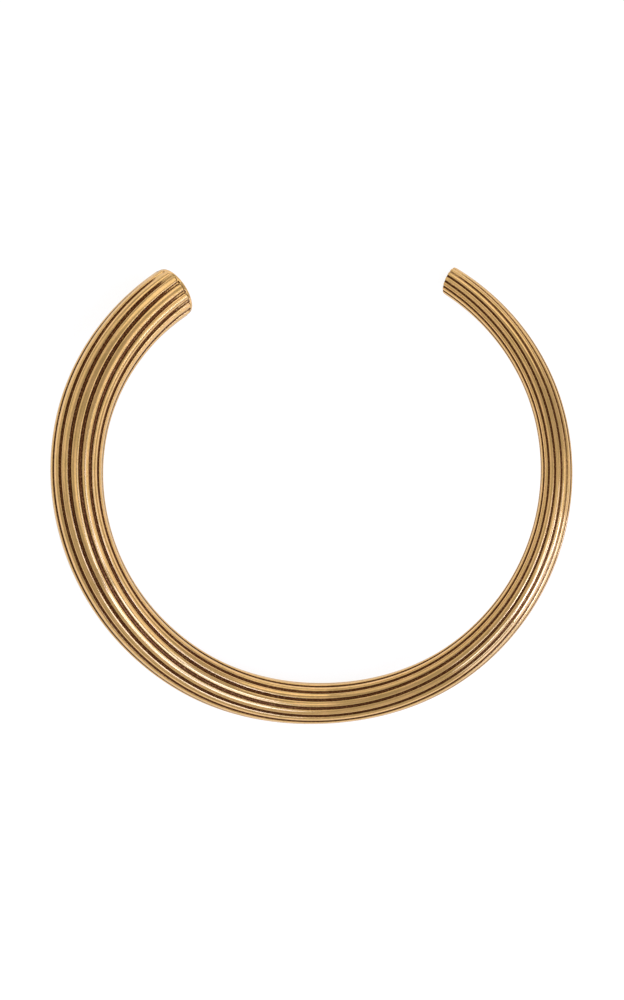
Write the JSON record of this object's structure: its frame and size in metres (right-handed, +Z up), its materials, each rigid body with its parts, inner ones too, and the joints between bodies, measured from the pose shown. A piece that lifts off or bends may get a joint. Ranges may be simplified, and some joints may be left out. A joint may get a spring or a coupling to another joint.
{
  "type": "open collar necklace",
  "caption": "Rigid open collar necklace: a ribbed metal tube tapering from a thick end to a thin one, arched at both sides to lie on the shoulders.",
  "frame": {"origin": "on the surface that the collar lies on, under the middle of its bounding box", "axes": "+Z up off the surface, +Y towards the open back, +X towards the thin side"},
  "size_m": [0.1482, 0.1318, 0.0305],
  "materials": {
    "antiqued_brass": "satin polished on the ribs, dark oxidised in the grooves"
  },
  "bodies": {
    "root": {"collar": "antiqued_brass"}
  },
  "joints": []
}
